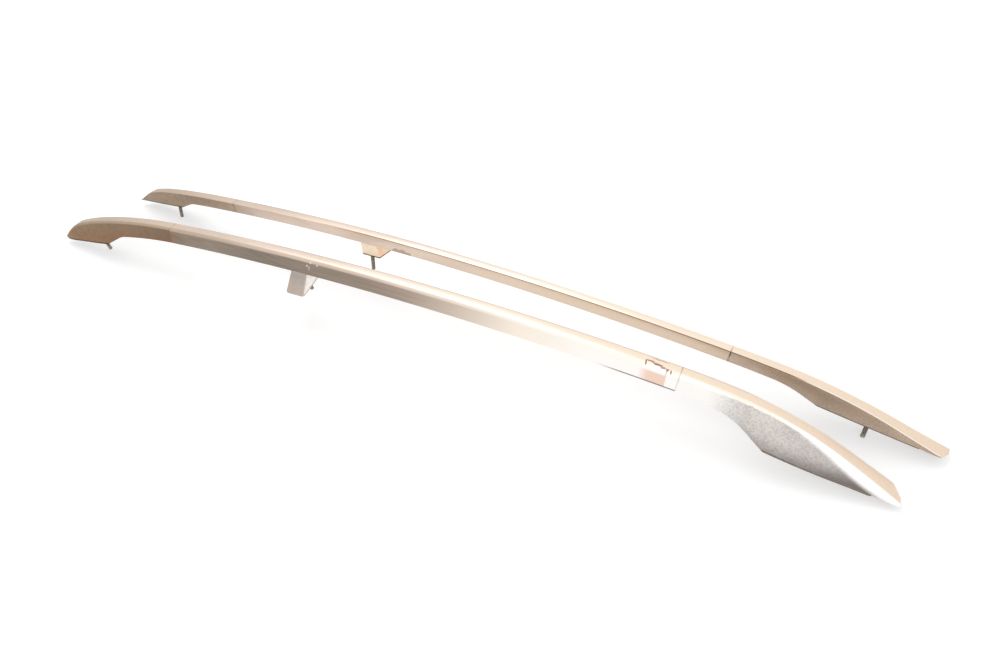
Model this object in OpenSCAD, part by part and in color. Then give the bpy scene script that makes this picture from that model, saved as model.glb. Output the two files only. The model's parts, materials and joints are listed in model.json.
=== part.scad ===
// Pair of raised roof side rails for an estate car, left and right hand.
// Each rail is a bent hollow aluminium profile with a cast foot at either end,
// a clamped middle foot and three threaded studs that pass through the roof.
// X runs to the front of the car, Y to its left side, Z up. Z = 0 is the plane
// that the front and rear stud tips stand on, and X = Y = 0 the middle of the pair.
// Every rail shape is drawn for the left hand, outward along +Y, and mirrored
// for the right hand.

/* [Arch] */
// Height of the top line's highest point over the stud tips
apex_height = 145.5; // [125:0.5:165]
// Radius that the profile is bent to
arch_radius = 6050; // [5700:50:6500]
// Degrees of bend from the highest point to the front seam
arch_turn_front = 4.85; // [4.6:0.05:5.1]
// Degrees of bend from the highest point to the rear seam
arch_turn_rear = 5.65; // [5.4:0.05:5.9]

/* [Profile section] */
// Width of the flat top, from the inner face to the start of the shoulder
flat_w = 14.5; // [12:0.5:18]
// Radius of the soft outer shoulder
shoulder_r = 11.5; // [9:0.5:14]
// Lean of the outer face from upright, in degrees
profile_flare = 20; // [14:1:25]
// Height of the flat inner face
inner_face_h = 22.6; // [21:0.2:26]
// Radius of the crisp edge over the inner face
arris_r = 1.2; // [0.6:0.1:2]
// Wall of the hollow profile
profile_wall = 2.2; // [1.8:0.1:2.6]
// Width of the slot along the profile's underside
slot_w = 9; // [8.6:0.1:10]
// Width of the channel over the slot
channel_w = 15.6; // [14.8:0.1:17]
// Height of the channel over the slot
channel_h = 6.2; // [5.6:0.1:6.8]

/* [Roof and feet] */
// Fall of the roof under the feet toward the car's side, in degrees
roof_slope = 10; // [6:1:13]
// Thickness of the rubber pads under the feet
pad_t = 2.2; // [1.5:0.1:3]
// Sideways sweep of the front tip away from the other rail
front_sweep = 17.5; // [10:0.5:24]
// Sideways sweep of the rear tip away from the other rail
rear_sweep = 24.5; // [14:0.5:30]
// Wall of the cast feet
foot_wall = 4; // [3.2:0.1:5]
// Thickness of the ribs in the cast feet
rib_t = 3; // [2.4:0.1:4]
// Slope of both heels' inside faces, in degrees
heel_slope = 28; // [24:1:32]
// Gap between profile and cast foot at the seam
seam_gap = 0.35; // [0.2:0.05:0.6]

/* [Front foot] */
// Radius of the gentle bend next to the seam
front_lead_radius = 1500; // [1400:10:1600]
// Degrees turned by the gentle bend
front_lead_turn = 3.5; // [3:0.1:3.9]
// Radius of the bend that turns the front foot down
front_drop_radius = 670; // [620:10:720]
// Degrees turned by that bend
front_drop_turn = 16.7; // [15.5:0.1:18]
// Distance from the seam to the rounded front tip
front_tip_reach = 369; // [355:1:375]
// Fall of the roof under the front foot toward the tip, in degrees
front_base_pitch = 11; // [9.5:0.1:12]
// Distance from the seam to the front stud
front_stud_reach = 240; // [225:1:252]
// Distance of the front stud from the inner face line
front_stud_w = 25; // [22:0.5:28]
// Length of the neck's underside that runs on level with the profile's
front_neck_run = 76; // [70:1:84]
// Radius of the underside where the neck turns down to the heel
front_heel_radius = 150; // [120:5:170]
// Lean of the front foot's outer face at its base, in degrees
front_flare = 36.5; // [30:0.5:41]
// Width of the flat top at the front tip
front_tip_flat = 27; // [20:1:30]
// Corner radius of the front tip next to the inner face
front_corner_in = 8; // [4:1:12]
// Corner radius of the front tip on the outside
front_corner_out = 17; // [10:1:20]

/* [Rear foot] */
// Radius of the gentle bend next to the seam
rear_lead_radius = 3000; // [2800:50:3200]
// Degrees turned by the gentle bend
rear_lead_turn = 1.2; // [0.9:0.1:1.5]
// Radius of the rear foot's long bend
rear_drop_radius = 1440; // [1350:10:1530]
// Degrees turned by the long bend
rear_drop_turn = 6.2; // [5.6:0.1:6.8]
// Radius of the bend behind it
rear_end_radius = 600; // [560:10:640]
// Degrees turned by the bend behind it
rear_end_turn = 12.1; // [11:0.1:13]
// Radius of the blunt rear nose
rear_nose_radius = 70; // [60:1:80]
// Degrees that the nose turns down to its tip
rear_nose_turn = 34; // [32:1:38]
// Distance from the seam to the rear tip
rear_tip_reach = 364; // [355:1:370]
// Fall of the roof under the rear foot toward the tip, in degrees
rear_base_pitch = 10.5; // [9:0.1:12]
// Distance from the seam to the rear stud
rear_stud_reach = 229; // [215:1:242]
// Distance of the rear stud from the inner face line
rear_stud_w = 22; // [19:0.5:24]
// Length of the neck's underside that runs on level with the profile's
rear_neck_run = 139; // [130:1:144]
// Radius of the underside where the neck turns down to the heel
rear_heel_radius = 60; // [40:5:80]
// Lean of the rear foot's outer face at its heel, in degrees
rear_flare = 26.5; // [20:0.5:32]
// Lean of the rear foot's outer face at the nose, in degrees
rear_nose_flare = 14; // [10:1:20]
// Corner radius of the nose next to the inner face
rear_corner_in = 6; // [3:1:9]
// Corner radius of the nose on the outside
rear_corner_out = 18; // [8:1:22]

/* [Middle foot] */
// Distance of the left rail's middle stud behind the arch's highest point
middle_back = 236; // [190:1:290]
// How much further back the right rail's middle stud is set in its slot
middle_shift = 20; // [-60:1:60]
// How far the middle foot's block is set ahead of its stud
middle_lead = 6; // [0:0.5:8]
// Length of the middle foot along the rail
middle_len = 44; // [38:1:52]
// Height of the middle foot's inner face, pad not counted
middle_h = 27.5; // [22:0.5:32]
// Lean of the middle foot's outer face, in degrees
middle_flare = 34; // [26:1:38]
// Distance of the middle stud from the inner face line
middle_stud_w = 17; // [15:0.5:19]

/* [Studs and screws] */
// Thread diameter of the studs
stud_d = 8; // [6:0.5:8.4]
// Length of stud that stands out of each pad
stud_out = 38; // [30:1:46]
// Length of stud screwed into a cast foot
stud_in = 20; // [14:1:22]
// Diameter of the screws that hold the feet to the profile
screw_d = 4.8; // [4:0.1:5.5]
// Diameter of those screws' heads
screw_head_d = 8.4; // [7.6:0.1:8.6]
// Height of those screws' heads
screw_head_h = 3.2; // [2.4:0.1:3.6]
// Length of the foot's spigot inside the profile
spigot_len = 48; // [40:1:60]

/* [Pair] */
// Gap between the two inner faces, measured at the highest point
pair_gap = 85; // [60:1:400]
// Degrees that each rail turns in toward the front
toe_in = 1.13; // [0:0.01:3]
// Lead of the left rail over the right rail
stagger = 62.5; // [0:0.5:100]

/* [Hidden] */
fit = 0.05;            // radial clearance of threads and shanks in their bores
seat = 0.1;            // clearance under a part that is clamped up to a face
spigot_gap = 0.3;      // clearance round the spigot in the profile
arc_steps = 7;         // straight steps that draw the shoulder arc
depth_margin = 8;      // how far a foot's skin runs on below its base before the cut
far = 400;             // reach of the cutting blocks
tip_point_w = 20;      // how far out of the inner face line a turned rail's tips reach furthest
tip_overrun = 4;       // how far the front foot's skin runs on past the tip before the cut
pocket_end = 62;       // solid metal left at a foot's tip
rib_pitch = 30;        // distance of the cross ribs from the stud

// Walking along a chain of arcs.
// A chain is a list of [radius, degrees]; a radius of 0 makes it [0, length].
// A spot on it is [distance, drop, slope], the slope in degrees below level.
function piece_length(piece) = piece[0] == 0 ? piece[1] : piece[0] * piece[1] * PI / 180;
function chain_length(chain, i = 0) =
    i == len(chain) ? 0 : piece_length(chain[i]) + chain_length(chain, i + 1);
function along_piece(spot, piece, s) =
    piece[0] == 0
    ? [spot[0] + s * cos(spot[2]), spot[1] + s * sin(spot[2]), spot[2]]
    : let (slope = spot[2] + s / piece[0] * 180 / PI)
      [spot[0] + piece[0] * (sin(slope) - sin(spot[2])),
       spot[1] + piece[0] * (cos(spot[2]) - cos(slope)),
       slope];
function along(chain, s, spot = [0, 0, 0], i = 0) =
    let (l = piece_length(chain[i]))
    (s <= l || i == len(chain) - 1)
    ? along_piece(spot, chain[i], s)
    : along(chain, s - l, along_piece(spot, chain[i], l), i + 1);
function chain_end(chain, spot = [0, 0, 0]) = along(chain, chain_length(chain), spot);
// Spots at even steps, close together where the chain turns fast.
function piece_spots(chain, i, spot) =
    let (n = max(ceil(chain[i][1] / 4), ceil(piece_length(chain[i]) / 24)))
    [for (k = [0:n - 1]) along_piece(spot, chain[i], piece_length(chain[i]) * k / n)];
function chain_spots(chain, spot = [0, 0, 0], i = 0) =
    i == len(chain)
    ? [spot]
    : concat(
        piece_spots(chain, i, spot),
        chain_spots(chain, along_piece(spot, chain[i], piece_length(chain[i])), i + 1));

// The line that the top edge over the inner face follows, walked from the
// highest point to each end. Rear shapes are drawn the same way and mirrored.
front_chain = [[arch_radius, arch_turn_front]];
rear_chain = [[arch_radius, arch_turn_rear]];
front_seam = chain_end(front_chain);
rear_seam = chain_end(rear_chain);
front_bends = [
    [front_lead_radius, front_lead_turn],
    [front_drop_radius, front_drop_turn]
];
front_bends_end = chain_end(front_bends, front_seam);
front_straight = front_seam[0] + front_tip_reach + tip_overrun - front_bends_end[0];
front_foot_chain = concat(front_bends, [[0, front_straight / cos(front_bends_end[2])]]);
rear_foot_chain = [
    [rear_lead_radius, rear_lead_turn],
    [rear_drop_radius, rear_drop_turn],
    [rear_end_radius, rear_end_turn],
    [rear_nose_radius, rear_nose_turn]
];

// A foot's own sizes, in one list that the shared modules read.
// [chain, seam spot, tip reach, stud reach, stud w, base pitch, neck run,
//  heel radius, heel flare, tip flare, tip flat, tip corner radii,
//  tip sweep]
front_foot_sizes = [
    front_foot_chain, front_seam, front_tip_reach, front_stud_reach, front_stud_w,
    front_base_pitch, front_neck_run, front_heel_radius, front_flare, front_flare,
    front_tip_flat, [front_corner_in, front_corner_out], front_sweep
];
rear_foot_sizes = [
    rear_foot_chain, rear_seam, rear_tip_reach, rear_stud_reach, rear_stud_w,
    rear_base_pitch, rear_neck_run, rear_heel_radius, rear_flare, rear_nose_flare,
    flat_w, [rear_corner_in, rear_corner_out], rear_sweep
];
function foot_chain(f) = f[0];
function foot_seam(f) = f[1];
function foot_tip_x(f) = f[1][0] + f[2];
function stud_x(f) = f[1][0] + f[3];
function stud_y(f) = sweep_at(f, stud_x(f)) + f[4];
function base_pitch(f) = f[5];
function tip_sweep(f) = f[12];

// How far the inner face has swept sideways at x.
function sweep_at(f, x) = tip_sweep(f) * pow(max(0, x - foot_seam(f)[0]) / f[2], 2);
// Height of the pad's underside at x, along the inner face.
function base_z(f, x) =
    stud_root_z + (stud_y(f) - sweep_at(f, x)) * tan(roof_slope)
    - (x - stud_x(f)) * tan(base_pitch(f));
stud_tip = 1;          // chamfer at both ends of a stud
stud_relief = 0.5;     // depth of a stud's plain neck below its thread
neck_reach = 2.5;      // length of that neck below the pad
stud_root_z = stud_out * cos(roof_slope) + (stud_d / 2 - stud_tip) * sin(roof_slope);

// The underside of a foot's neck, and the heel where it meets the pad.
function neck_start(f) =
    let (spot = foot_seam(f))
    [spot[0] - inner_face_h * sin(spot[2]), spot[1] + inner_face_h * cos(spot[2]), spot[2]];
function neck_chain(f) = [for (piece = foot_chain(f)) [piece[0] - inner_face_h, piece[1]]];
function heel_start(f) = along(neck_chain(f), f[6], neck_start(f));
function heel_end(f) =
    let (spot = heel_start(f))
    along_piece(spot, [f[7], heel_slope], f[7] * (heel_slope - spot[2]) * PI / 180);
function heel_x(f) =
    let (spot = heel_end(f))
    spot[0] + (apex_height - spot[1] - base_z(f, spot[0])) / (tan(heel_slope) - tan(base_pitch(f)));

// Outline of a rail's section, as [w, depth] points from the lower inner corner
// over the top to the lower outer corner. w runs outward from the inner face.
function section(flat, flare, h, inset = 0) =
    let (r = shoulder_r - inset,
         edge = max(arris_r - inset, 0.3),
         turn = 90 - flare,
         w_end = flat + r * sin(turn),
         d_end = shoulder_r - r * cos(turn),
         run = (h - inset / cos(roof_slope) + w_end * tan(roof_slope) - d_end)
               / (cos(flare) - sin(flare) * tan(roof_slope)))
    concat(
        [[inset, h + inset * tan(roof_slope) - inset / cos(roof_slope)]],
        [for (a = [0, 45, 90]) [inset + edge * (1 - cos(a)), inset + edge * (1 - sin(a))]],
        [for (k = [0:arc_steps])
            let (a = turn * k / arc_steps)
            [flat + r * sin(a), shoulder_r - r * cos(a)]],
        [[w_end + run * sin(flare), d_end + run * cos(flare)]]);

// Width of the profile along its sloping underside.
profile_corner = section(flat_w, profile_flare, inner_face_h)[arc_steps + 5];
underside_w = profile_corner[0] / cos(roof_slope);
channel_top = profile_wall + channel_h;
chamber_h = inner_face_h - channel_top / cos(roof_slope);

// Skin of a foot between two distances from the seam, as a loft of sections.
function smooth(t) = let (c = min(max(t, 0), 1)) c * c * (3 - 2 * c);
function flare_at(f, x) =
    let (neck = smooth((x - foot_seam(f)[0]) / (heel_x(f) - foot_seam(f)[0])),
         toe = smooth((x - heel_x(f)) / (foot_tip_x(f) - heel_x(f))))
    profile_flare + (f[8] - profile_flare) * neck + (f[9] - f[8]) * toe;
function flat_at(f, x) =
    flat_w + (f[10] - flat_w) * pow(min(1, max(0, x - foot_seam(f)[0]) / f[2]), 3);
function skin_ring(f, spot, inset) =
    let (x = spot[0],
         z = apex_height - spot[1],
         slope = spot[2],
         h = (z - base_z(f, x) + depth_margin)
             / (cos(slope) + tan(base_pitch(f)) * sin(slope)))
    [for (p = section(flat_at(f, x), flare_at(f, x), h, inset))
        [x - p[1] * sin(slope), sweep_at(f, x) + p[0], z - p[1] * cos(slope)]];
module loft(rings) {
    n = len(rings[0]);
    last = len(rings) - 1;
    points = [for (ring = rings) each ring];
    sides = [for (j = [0:last - 1], i = [0:n - 1])
        let (a = j * n + i, b = j * n + (i + 1) % n)
        each [[a, b, b + n], [a, b + n, a + n]]];
    caps = [[for (i = [n - 1:-1:0]) i], [for (i = [0:n - 1]) last * n + i]];
    polyhedron(points, concat(sides, caps));
}
module foot_skin(f) {
    spots = chain_spots(foot_chain(f), foot_seam(f));
    first = along(foot_chain(f), seam_gap, foot_seam(f));
    used = concat([first], [for (i = [1:len(spots) - 1]) spots[i]]);
    loft([for (spot = used) skin_ring(f, spot, 0)]);
}
module foot_pocket(f) {
    from = heel_x(f) - foot_seam(f)[0] + 2.5 * foot_wall;
    to = f[2] - pocket_end;
    steps = 7;
    loft([for (k = [0:steps])
        skin_ring(f, along(foot_chain(f), from + (to - from) * k / steps, foot_seam(f)), foot_wall)]);
}

// Plan of a foot with its tip's two corners rounded, as an upright prism.
module tip_plan(f) {
    x = foot_tip_x(f);
    y = tip_sweep(f);
    r_in = f[11][0];
    r_out = f[11][1];
    w = section(f[10], f[9], 14)[arc_steps + 5][0];
    corner_in = [for (a = [-90:15:0]) [x - r_in + r_in * cos(a), y + r_in + r_in * sin(a)]];
    corner_out = [for (a = [0:15:90])
        [x - r_out + r_out * cos(a), y + w - r_out + r_out * sin(a)]];
    run_in = [[foot_seam(f)[0] - 20, -far / 4], [x - r_in - 40, y - 14]];
    run_out = [[x - r_out - 60, y + w + 20], [foot_seam(f)[0] - 20, far / 2]];
    linear_extrude(far) polygon(concat(run_in, corner_in, corner_out, run_out));
}

// Everything above a foot's base, lifted by a distance square to it.
module above_base(f, lift) {
    translate([stud_x(f), stud_y(f), stud_root_z])
        rotate([0, base_pitch(f), 0])
        rotate([-roof_slope, 0, 0])
        translate([-far, -far, lift])
        cube([2 * far, 2 * far, far]);
}

// The open space under the neck, sloping with the roof from the inner face out.
module under_neck(f) {
    start = neck_start(f);
    neck = [for (k = [0:8]) along(neck_chain(f), f[6] * k / 8, start)];
    bend_length = f[7] * (heel_slope - heel_start(f)[2]) * PI / 180;
    bend = [for (k = [1:6]) along_piece(heel_start(f), [f[7], heel_slope], bend_length * k / 6)];
    reach = 60;
    foot = [heel_end(f)[0] + reach, heel_end(f)[1] + reach * tan(heel_slope)];
    edge = [for (p = concat(neck, bend, [foot]))
        [p[0], (apex_height - p[1]) * cos(roof_slope)]];
    back = [start[0] - 20, edge[0][1] + 20 * tan(start[2])];
    outline = concat([[foot[0], -far / 4], [back[0], -far / 4], back], edge);
    rotate([90 - roof_slope, 0, 0])
        translate([0, 0, -far])
        linear_extrude(2 * far)
        polygon(outline);
}

// Placing.
module at_spot(spot) {
    translate([spot[0], 0, apex_height - spot[1]]) rotate([0, spot[2], 0]) children();
}
// Onto the profile's sloping underside; the child's Z is the studs' direction.
module on_underside() {
    translate([0, middle_stud_w, -inner_face_h - middle_stud_w * tan(roof_slope)])
        rotate([-roof_slope, 0, 0])
        children();
}
module at_stud(f) {
    translate([stud_x(f), stud_y(f), stud_root_z]) rotate([-roof_slope, 0, 0]) children();
}
module behind() {
    mirror([1, 0, 0]) children();
}
// Sweeps a [w, depth] outline along an arc that starts at the origin and bends down.
module arc_sweep(radius, turn) {
    translate([0, 0, -radius])
        rotate([-90, 0, 0])
        rotate([0, 0, -90])
        rotate_extrude(angle = turn, $fn = 900)
        translate([radius, 0])
        rotate(90)
        children();
}

// Profile: hollow, with a slotted channel along its underside.
module underside_box(w, from, to) {
    translate([middle_stud_w, inner_face_h + middle_stud_w * tan(roof_slope)])
        rotate(roof_slope)
        translate([-w / 2, -to])
        square([w, to - from]);
}
module profile_outline() {
    difference() {
        polygon(section(flat_w, profile_flare, inner_face_h));
        difference() {
            polygon(section(flat_w, profile_flare, inner_face_h, profile_wall));
            underside_box(channel_w + 2 * profile_wall, -5, channel_top + profile_wall);
        }
        underside_box(channel_w, profile_wall, channel_top);
        underside_box(slot_w, -5, profile_wall + 1);
    }
}
joint_screw_spots = [spigot_len * 0.3, spigot_len * 0.72];
module at_joint_screws(chain) {
    for (back = joint_screw_spots)
        at_spot(along(chain, chain_length(chain) - back))
            on_underside()
            children();
}
module profile() {
    color("#cdb9a4")
    difference() {
        behind()
            at_spot(rear_seam)
            behind()
            arc_sweep(arch_radius, arch_turn_rear + arch_turn_front)
            profile_outline();
        at_joint_screws(front_chain) screw_hole();
        behind() at_joint_screws(rear_chain) screw_hole();
    }
}
module screw_hole() {
    translate([0, 0, channel_top - 1]) cylinder(d = screw_d + 2 * fit, h = profile_wall + 2, $fn = 32);
}

// Cast feet.
module spigot(f, chain) {
    at_spot(along(chain, chain_length(chain) - spigot_len))
        arc_sweep(arch_radius, (spigot_len + 6) / arch_radius * 180 / PI)
        polygon(section(flat_w, profile_flare, chamber_h, profile_wall + spigot_gap));
}
module foot(f, chain) {
    difference() {
        union() {
            difference() {
                intersection() {
                    foot_skin(f);
                    tip_plan(f);
                    above_base(f, pad_t);
                }
                under_neck(f);
                difference() {
                    foot_pocket(f);
                    pocket_ribs(f);
                }
            }
            spigot(f, chain);
        }
        at_stud(f) cylinder(d = stud_d + 2 * fit, h = stud_in + 1, $fn = 48);
        at_joint_screws(chain)
            translate([0, 0, channel_top])
            cylinder(d = screw_d + 2 * fit, h = profile_wall + screw_grip + 0.5, $fn = 32);
    }
}
screw_grip = 6;        // length of screw inside the spigot
boss_wall = 4.5;       // metal round a stud
module pocket_ribs(f) {
    at_stud(f) cylinder(d = stud_d + 2 * boss_wall, h = far / 4, $fn = 48);
    translate([heel_x(f), stud_y(f) - rib_t / 2, 0]) cube([f[2], rib_t, far / 2]);
    for (side = [-1, 1])
        translate([stud_x(f) + side * rib_pitch - rib_t / 2, 0, 0]) cube([rib_t, far / 4, far / 2]);
}
module front_foot() {
    color("#d9cabb") foot(front_foot_sizes, front_chain);
}
module rear_foot() {
    color("#b9987c") behind() foot(rear_foot_sizes, rear_chain);
}

// Rubber pads.
module foot_pad(f) {
    difference() {
        intersection() {
            foot_skin(f);
            tip_plan(f);
            above_base(f, 0);
        }
        above_base(f, pad_t);
        under_neck(f);
        at_stud(f)
            translate([0, 0, -pad_t])
            cylinder(d = stud_d + 2 * fit, h = 3 * pad_t, $fn = 48);
    }
}
module front_pad() {
    color("#3a3633") foot_pad(front_foot_sizes);
}
module rear_pad() {
    color("#3a3633") behind() foot_pad(rear_foot_sizes);
}

// Studs.
// The thread is cut back to a plain neck where the stud passes the pad, whose
// underside lies at height root.
module stud(out, into, root = 0) {
    r = stud_d / 2;
    neck_r = r - stud_relief;
    neck_low = root - neck_reach;
    rotate_extrude($fn = 48)
        polygon([
            [0, -out], [r - stud_tip, -out], [r, stud_tip - out],
            [r, neck_low - stud_relief], [neck_r, neck_low],
            [neck_r, root + pad_t - stud_relief], [r, root + pad_t],
            [r, into - stud_tip], [r - stud_tip, into], [0, into]
        ]);
}
module front_stud() {
    color("#8b8680") at_stud(front_foot_sizes) stud(stud_out, stud_in);
}
module rear_stud() {
    color("#8b8680") behind() at_stud(rear_foot_sizes) stud(stud_out, stud_in);
}

// Middle foot, clamped up to the profile by a T-headed bolt and a thin nut.
middle_drop = middle_h * cos(roof_slope);
nut_h = 4;             // thin nut
nut_across = 13;       // nut's width across flats
middle_bore = stud_d + 0.8;
middle_corner_in = 2.5;
middle_corner_out = 6;
module at_middle(back) {
    behind() at_spot(along(rear_chain, back)) on_underside() children();
}
function corner(cx, cy, r, from) =
    [for (a = [from:22.5:from + 90]) [cx + r * cos(a), cy + r * sin(a)]];
// Plan of the middle foot: half length, inner edge, outer edge along the slope.
function middle_plan(half, inner, outer) =
    let (ri = middle_corner_in,
         ro = middle_corner_out,
         plan = concat(
             corner(half - ri, inner + ri, ri, -90),
             corner(half - ro, outer - ro, ro, 0),
             corner(ro - half, outer - ro, ro, 90),
             corner(ri - half, inner + ri, ri, 180)))
    [for (p = plan) [p[0] - middle_lead, p[1]]];
middle_inner = -middle_stud_w / cos(roof_slope);
middle_top_plan = middle_plan(middle_len / 2 - 1.5, middle_inner, middle_inner + underside_w);
function middle_low_plan(drop) =
    middle_plan(
        middle_len / 2,
        middle_inner + drop * tan(roof_slope),
        middle_inner + underside_w + drop * tan(middle_flare + roof_slope));
module middle_foot(back) {
    color("#cfc3b6") at_middle(back) difference() {
        loft([
            [for (p = middle_top_plan) [p[0], p[1], -seat]],
            [for (p = middle_low_plan(middle_drop)) [p[0], p[1], -middle_drop]]
        ]);
        translate([0, 0, -far / 4]) cylinder(d = middle_bore, h = far / 2, $fn = 48);
        translate([0, 0, -middle_drop - 1])
            cylinder(d = nut_across + 4, h = nut_h + 2, $fn = 48);
    }
}
module middle_nut(back) {
    color("#8b8680") at_middle(back)
        translate([0, 0, -middle_drop + 1 - seat])
        difference() {
            cylinder(d = nut_across / cos(30), h = nut_h, $fn = 6);
            translate([0, 0, -1]) cylinder(d = stud_d + 2 * fit, h = nut_h + 2, $fn = 48);
        }
}
module middle_pad(back) {
    color("#3a3633") at_middle(back) difference() {
        translate([0, 0, -middle_drop - pad_t])
            linear_extrude(pad_t)
            polygon(middle_low_plan(middle_drop));
        translate([0, 0, -far / 4]) cylinder(d = middle_bore, h = far / 2, $fn = 48);
    }
}
bolt_head_t = 5;       // thickness of the T-head
bolt_head_w = 14.2;    // width of the T-head in the channel
module middle_bolt(back) {
    color("#8b8680") at_middle(back) {
        translate([-bolt_head_w / 2, -bolt_head_w / 2, profile_wall + seat])
            cube([bolt_head_w, bolt_head_w, bolt_head_t]);
        stud(middle_drop + pad_t + stud_out, profile_wall + seat + 2, -middle_drop - pad_t);
    }
}

// Screws that hold the feet to the profile, driven through the slot.
module joint_screw() {
    translate([0, 0, channel_top - seat]) {
        translate([0, 0, -screw_head_h]) cylinder(d = screw_head_d, h = screw_head_h, $fn = 40);
        cylinder(d = screw_d, h = profile_wall + screw_grip, $fn = 32);
    }
}
module joint_screws() {
    color("#77716b") {
        at_joint_screws(front_chain) joint_screw();
        behind() at_joint_screws(rear_chain) joint_screw();
    }
}

// The pair.
module on_left() {
    translate([stagger / 2 + mid_x, pair_gap / 2, 0]) rotate([0, 0, -toe_in]) children();
}
module on_right() {
    translate([-stagger / 2 + mid_x, -pair_gap / 2, 0])
        rotate([0, 0, toe_in])
        mirror([0, 1, 0])
        children();
}
// Half the difference between the two ends' reach, so X = 0 is the pair's middle.
mid_x =
    ((foot_tip_x(rear_foot_sizes) - foot_tip_x(front_foot_sizes)) * cos(toe_in)
    - (front_sweep + rear_sweep + 2 * tip_point_w) * sin(toe_in)) / 2;

on_left() profile();  // left_profile
on_left() front_foot();  // left_front_foot
on_left() rear_foot();  // left_rear_foot
on_left() middle_foot(middle_back);  // left_middle_foot
on_left() front_stud();  // left_front_stud
on_left() rear_stud();  // left_rear_stud
on_left() middle_bolt(middle_back);  // left_middle_bolt
on_left() middle_nut(middle_back);  // left_middle_nut
on_left() front_pad();  // left_front_pad
on_left() rear_pad();  // left_rear_pad
on_left() middle_pad(middle_back);  // left_middle_pad
on_left() joint_screws();  // left_joint_screws
on_right() profile();  // right_profile
on_right() front_foot();  // right_front_foot
on_right() rear_foot();  // right_rear_foot
on_right() middle_foot(middle_back + middle_shift);  // right_middle_foot
on_right() front_stud();  // right_front_stud
on_right() rear_stud();  // right_rear_stud
on_right() middle_bolt(middle_back + middle_shift);  // right_middle_bolt
on_right() middle_nut(middle_back + middle_shift);  // right_middle_nut
on_right() front_pad();  // right_front_pad
on_right() rear_pad();  // right_rear_pad
on_right() middle_pad(middle_back + middle_shift);  // right_middle_pad
on_right() joint_screws();  // right_joint_screws
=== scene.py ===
import json
import math

import bpy
from mathutils import Matrix, Vector


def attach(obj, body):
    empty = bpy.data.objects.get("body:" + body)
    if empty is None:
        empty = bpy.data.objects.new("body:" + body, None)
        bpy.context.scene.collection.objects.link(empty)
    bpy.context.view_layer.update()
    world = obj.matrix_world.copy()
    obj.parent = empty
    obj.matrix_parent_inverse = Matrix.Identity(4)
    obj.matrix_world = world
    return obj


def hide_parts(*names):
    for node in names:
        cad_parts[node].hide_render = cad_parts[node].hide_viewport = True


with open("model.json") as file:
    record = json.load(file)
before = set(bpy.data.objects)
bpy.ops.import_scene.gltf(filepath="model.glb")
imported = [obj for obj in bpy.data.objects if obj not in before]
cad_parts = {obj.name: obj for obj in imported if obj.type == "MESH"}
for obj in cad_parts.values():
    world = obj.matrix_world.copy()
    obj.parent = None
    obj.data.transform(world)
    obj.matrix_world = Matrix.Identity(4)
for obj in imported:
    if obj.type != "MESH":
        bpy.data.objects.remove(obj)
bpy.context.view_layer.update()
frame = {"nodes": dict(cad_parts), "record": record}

# Sizes of the part, in metres and degrees, as its source has them.
TOE_IN = math.radians(1.13)
STAGGER = 0.0625
PAIR_GAP = 0.085
MIDDLE_X = 0.0388
APEX_HEIGHT = 0.1455
ARCH_RADIUS = 6.05
FRONT_SEAM = 0.5115
REAR_SEAM = 0.5956
FRONT_SEAM_ARC = 0.5121
REAR_SEAM_ARC = 0.5966
FRONT_REACH = 0.369
REAR_REACH = 0.364
FRONT_SWEEP = 0.0175
REAR_SWEEP = 0.0245
ROOF_SLOPE = math.radians(10)
PROFILE_UNDERSIDE = 0.0226
PAD_T = 0.0022
# Height of an end stud's root, where it leaves its pad.
STUD_ROOT = 0.0379
# Height of each foot's base at its inner face, beside the stud.
FRONT_BASE_INSIDE = 0.0430
REAR_BASE_INSIDE = 0.0436

# Studs: heights are measured along the stud from the pad's underside.
STUD_R = 0.004
STUD_OUT = 0.038
STUD_IN = 0.020
STUD_MOUNT_DROP = 0.020
STUD_CHAMFER = 0.001
NECK_LOW = -0.003
NECK_R = 0.0035
THREAD_PITCH = 0.00125
THREAD_DEPTH = 0.0007
THREAD_SIDES = 20
THREAD_STEPS = 6
BOLT_HEAD_LOW = 0.0316
BOLT_HEAD_HIGH = 0.0365
BOLT_HEAD_HALF = 0.0071

# The rear nose narrows from the outside as it nears its tip.
NOSE_START = 0.287
NOSE_NARROWING = 0.93
NOSE_POWER = 3.0
NOSE_DROP_START = 0.296
NOSE_DROP_POWER = 1.7
NOSE_DROP = 0.93
# The photograph shows the right nose shorter, with its point nearer the middle of its width.
NOSE_POINT_OUT = {"right": 0.0155, "left": 0.0}
NOSE_SHORTER = {"right": 0.014, "left": 0.0}
REAR_STUD_REACH = 0.229
REAR_STUD_OUT = 0.0317
REAR_PITCH = math.radians(10.5)

# The front foot's metal reaches down over its pad at the tip.
FRONT_STUD_ALONG = 0.7515
FRONT_STUD_OUT = 0.0324
FRONT_PITCH = math.radians(11)
FRONT_LIP_START = 0.318
FRONT_LIP_FULL = 0.335
FRONT_PAD_END = 0.320
FRONT_PAD_SQUEEZE = 0.12
FRONT_LIP_ABOVE_BASE = 0.0004
FLATNESS = 0.0002

# The middle foot's outer face leans out further than its solid's.
MIDDLE_LEAN_MORE = math.tan(math.radians(43)) - math.tan(math.radians(34))
MIDDLE_LEAN_FROM = 0.027
MIDDLE_LEAN_FULL = 0.034

# The photograph's viewpoint.
CAMERA_PLACE = (0.6475, -0.9129, 1.0133)
CAMERA_AZIMUTH = 28.07
CAMERA_ELEVATION = 43.48
CAMERA_ROLL = -2.7
CAMERA_LENS = 26.52

SIDES = {"left": 1, "right": -1}


def srgb(red, green, blue):
    """A colour given as it looks on a screen, 0 to 255, as the linear colour that a node wants."""
    def linear(value):
        value /= 255
        return value / 12.92 if value <= 0.04045 else ((value + 0.055) / 1.055) ** 2.4
    return (linear(red), linear(green), linear(blue), 1.0)


# Node helpers.

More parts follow.
